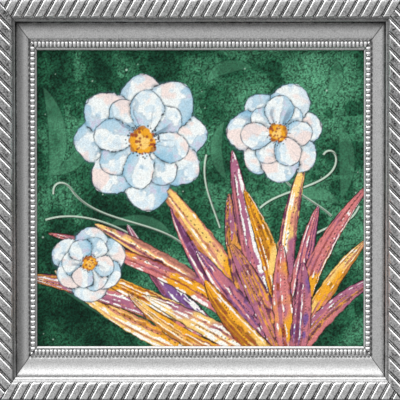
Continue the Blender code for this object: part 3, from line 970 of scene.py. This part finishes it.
def softened_mesh(node, width):
    """A CAD node's shape in place, with its edges rounded."""
    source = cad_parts[node]
    bm = bmesh.new()
    bm.from_mesh(source.data)
    bm.transform(source.matrix_world)
    bmesh.ops.dissolve_limit(bm, angle_limit=0.01, verts=bm.verts, edges=bm.edges)
    edges = [edge for edge in bm.edges if edge.calc_face_angle(0.0) > 0.5]
    bmesh.ops.bevel(bm, geom=edges, offset=width, segments=2, affect="EDGES", clamp_overlap=True)
    mesh = bpy.data.meshes.new(node)
    bm.to_mesh(mesh)
    bm.free()
    return shade(mesh, 40)


def turned_mesh(node, profile, sides, wobble):
    """A round piece on a CAD node's footprint: a profile turned about Y, its rim made uneven."""
    low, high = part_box(node)
    middle = (low + high) / 2
    radius = (high.x - low.x) / 2
    angles = 2 * math.pi * np.arange(sides) / sides
    waves = np.sin(angles * 7 + middle.x * 900) * np.cos(angles * 3 + middle.z * 500)
    uneven = 1 - wobble * (0.5 + 0.5 * waves)
    circle = np.stack([np.cos(angles), np.zeros(sides), np.sin(angles)], 1)
    points = []
    for share, rise in profile:
        ring = circle * (radius * share * uneven)[:, None]
        points.append(ring + (middle.x, low.y + rise * (high.y - low.y), middle.z))
    index = grid_index(len(profile), sides)
    faces = ring_faces(len(profile), sides) + index[(0, -1), :].tolist()
    mesh = new_mesh(node, np.concatenate(points), faces)
    face_outward(mesh)
    return shade(mesh, 50)


def v_nail(corner, along):
    """A bent wedge nail's points and faces: its bend at a corner in X and Z, its legs splayed along
    the mitre."""
    across = Vector((-along.y, along.x))
    legs = [corner + (along * V_NAIL_SPLAY + across * way) * V_NAIL_LEG for way in (-1, 1)]
    outline = [legs[0], corner, legs[1]]
    outline += [point + along * V_NAIL_THICKNESS for point in outline[::-1]]
    points = []
    for y in (BACK_Y + V_NAIL_PROUD, BACK_Y - V_NAIL_DEPTH):
        points += [(point.x, y, point.y) for point in outline]
    return points, ring_faces(2, 6) + [(0, 1, 4, 5), (1, 2, 3, 4), (6, 7, 10, 11), (7, 8, 9, 10)]


def v_nails_mesh():
    """Two bent wedge nails across each mitre, driven in from the back and left just proud."""
    nails = []
    for side, end in ((-1, -1), (-1, 1), (1, -1), (1, 1)):
        inward = Vector((-side * SIDE_WIDTH, -end * END_WIDTH))
        corner = Vector((side * HALF, CENTRE_Z + end * HALF))
        nails += [v_nail(corner + inward * share, inward.normalized()) for share in V_NAIL_PLACES]
    mesh = new_mesh("v_nails", *joined(nails))
    face_outward(mesh)
    return mesh


# ---- stage

CAMERA_ELEVATION = 6.5
CAMERA_DISTANCE = 12.0
CAMERA_TARGET = Vector((-0.0004, cad_low.y + 0.004, CENTRE_Z))
SENSOR = 36.0
VIEW_SIZE = 2 * HALF - 0.0034  # the photo crops the frame's outer edge a little
FLOOR_HALF = 10.0
FLOOR_DROP = 0.6  # below the part, out of the photo's view
FLOOR_GREY = (0.40, 0.40, 0.395)

# soft lamps: elevation, azimuth to the right of straight in front, tightness, strength
LAMPS = (
    (14, -62, 8, 0.61), (14, -8, 8, 0.33), (14, 18, 8, 0.09), (-22, 0, 7, 0.56), (44, -100, 8, 2.38),
    (44, -62, 8, 3.23), (44, -30, 8, 0.45), (44, 0, 8, 0.40), (44, 30, 8, 0.31), (44, 60, 8, 1.48),
    (44, 100, 8, 2.19), (72, 60, 8, 0.20), (-58, 0, 6, 0.16), (130, 0, 6, 1.50), (155, 0, 6, 1.30),
)
AMBIENT = 0.012


def add_camera():
    """The photo's view: long, and from a few degrees above."""
    data = bpy.data.cameras.new("camera")
    camera = new_object("camera", data)
    bpy.context.scene.camera = camera
    turn = Matrix.Rotation(math.radians(90 - CAMERA_ELEVATION), 4, "X")
    away = Matrix.Translation((0, 0, CAMERA_DISTANCE))
    camera.matrix_world = Matrix.Translation(CAMERA_TARGET) @ turn @ away
    data.sensor_width = SENSOR
    data.lens = SENSOR * CAMERA_DISTANCE / VIEW_SIZE
    data.clip_start = 0.1
    data.clip_end = 60.0


def studio_world():
    """A soft surround: light falls off round each lamp's direction, over a faint even glow."""
    world = bpy.data.worlds.new("studio")
    world.use_nodes = True
    tree = world.node_tree
    direction = add_node(tree, "TexCoord", "Generated")
    total = AMBIENT
    for elevation, azimuth, tightness, strength in LAMPS:
        up, aside = math.radians(elevation), math.radians(azimuth)
        lamp = (math.cos(up) * math.sin(aside), -math.cos(up) * math.cos(aside), math.sin(up))
        toward = add_node(tree, "VectorMath", "Value", {0: direction, 1: lamp}, operation="DOT_PRODUCT")
        power = math_node(tree, "MULTIPLY_ADD", toward, tightness, math.log(strength) - tightness)
        total = math_node(tree, "ADD", total, math_node(tree, "EXPONENT", power))
    set_inputs(tree.nodes["Background"], {"Color": total})
    return world


def add_stage():
    """The light, and a pale floor well below the part."""
    corners = np.array([(-1, -1, 0), (1, -1, 0), (1, 1, 0), (-1, 1, 0)]) * FLOOR_HALF
    corners[:, 2] = cad_low.z - FLOOR_DROP
    material, _tree, shader = new_material("floor_pale")
    set_inputs(shader, {"Base Color": (*FLOOR_GREY, 1), "Roughness": 0.8})
    mesh = new_mesh("floor", corners, [(0, 1, 2, 3)])
    mesh.materials.append(material)
    floor = new_object("floor", mesh)
    floor.visible_glossy = False
    bpy.context.scene.world = studio_world()
    bpy.context.scene.view_settings.view_transform = "Standard"


# ---- the pieces

def build_frame():
    """Each rail's plain moulding, ribs and beads."""
    body_silver = silver_material("silver_moulding", SILVER, 0.0)
    rib_silver = silver_material("silver_ribs", SILVER, 0.6)
    bead_silver = silver_material("silver_beads", BRIGHT_SILVER, 0.4)
    wood_across = speckled_material("wood_across", WOOD_COLORS, 40, (0.25, 8, 8), 0.7)
    wood_upright = speckled_material("wood_upright", WOOD_COLORS, 40, (8, 8, 0.25), 0.7)
    for rail in RAILS:
        wood = wood_across if rail.width == END_WIDTH else wood_upright
        for kind, build, materials in (
            ("moulding", body_mesh, (body_silver, wood)),
            ("gadroon", gadroon_mesh, (rib_silver,)),
            ("beads", beads_mesh, (bead_silver,)),
        ):
            name = f"{kind}_{rail.side}"
            new_piece(name, build(name, rail), materials, (f"rail_{rail.side}",))


def build_print():
    """The sheet with the watercolour on it."""
    half = (PRINT_HIGH - PRINT_LOW) * TO_MM / 2
    paper = paint_print(half.x, half.z)
    new_piece("print", print_mesh(paper), (paper_material(),), ("art_print",))


def build_back():
    """The two boards' finish, the tabs, the hanger and its nails, the bumpers and the v-nails."""
    materials = {name: speckled_material(name, *look) for name, look in BACK_MATERIALS.items()}
    for node in ("mount_board", "backing_board"):
        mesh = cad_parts[node].data
        mesh.materials.clear()
        mesh.materials.append(materials[node])

    def add_piece(name, mesh, material, *nodes):
        new_piece(name, mesh, (materials[material],), nodes)

    for rail in RAILS:
        for number in (1, 2):
            node = f"tab_{rail.side}_{number}"
            add_piece(f"flat_{node}", softened_mesh(node, TAB_EDGE), "tab_steel", node)
    add_piece("sawtooth_hanger", softened_mesh("hanger", HANGER_EDGE), "hanger_zinc", "hanger")
    for side in ("left", "right"):
        node = f"hanger_nail_{side}"
        add_piece(f"head_{node}", turned_mesh(node, NAIL_HEAD, 32, 0.0), "nail_brass", node)
    for end in ("top", "bottom"):
        for side in ("left", "right"):
            node = f"bumper_{end}_{side}"
            add_piece(f"felt_{node}", turned_mesh(node, BUMPER, 72, 0.03), "bumper_felt", node)
    add_piece("v_nails", v_nails_mesh(), "tab_steel")


add_camera()
add_stage()
build_frame()
build_print()
build_back()
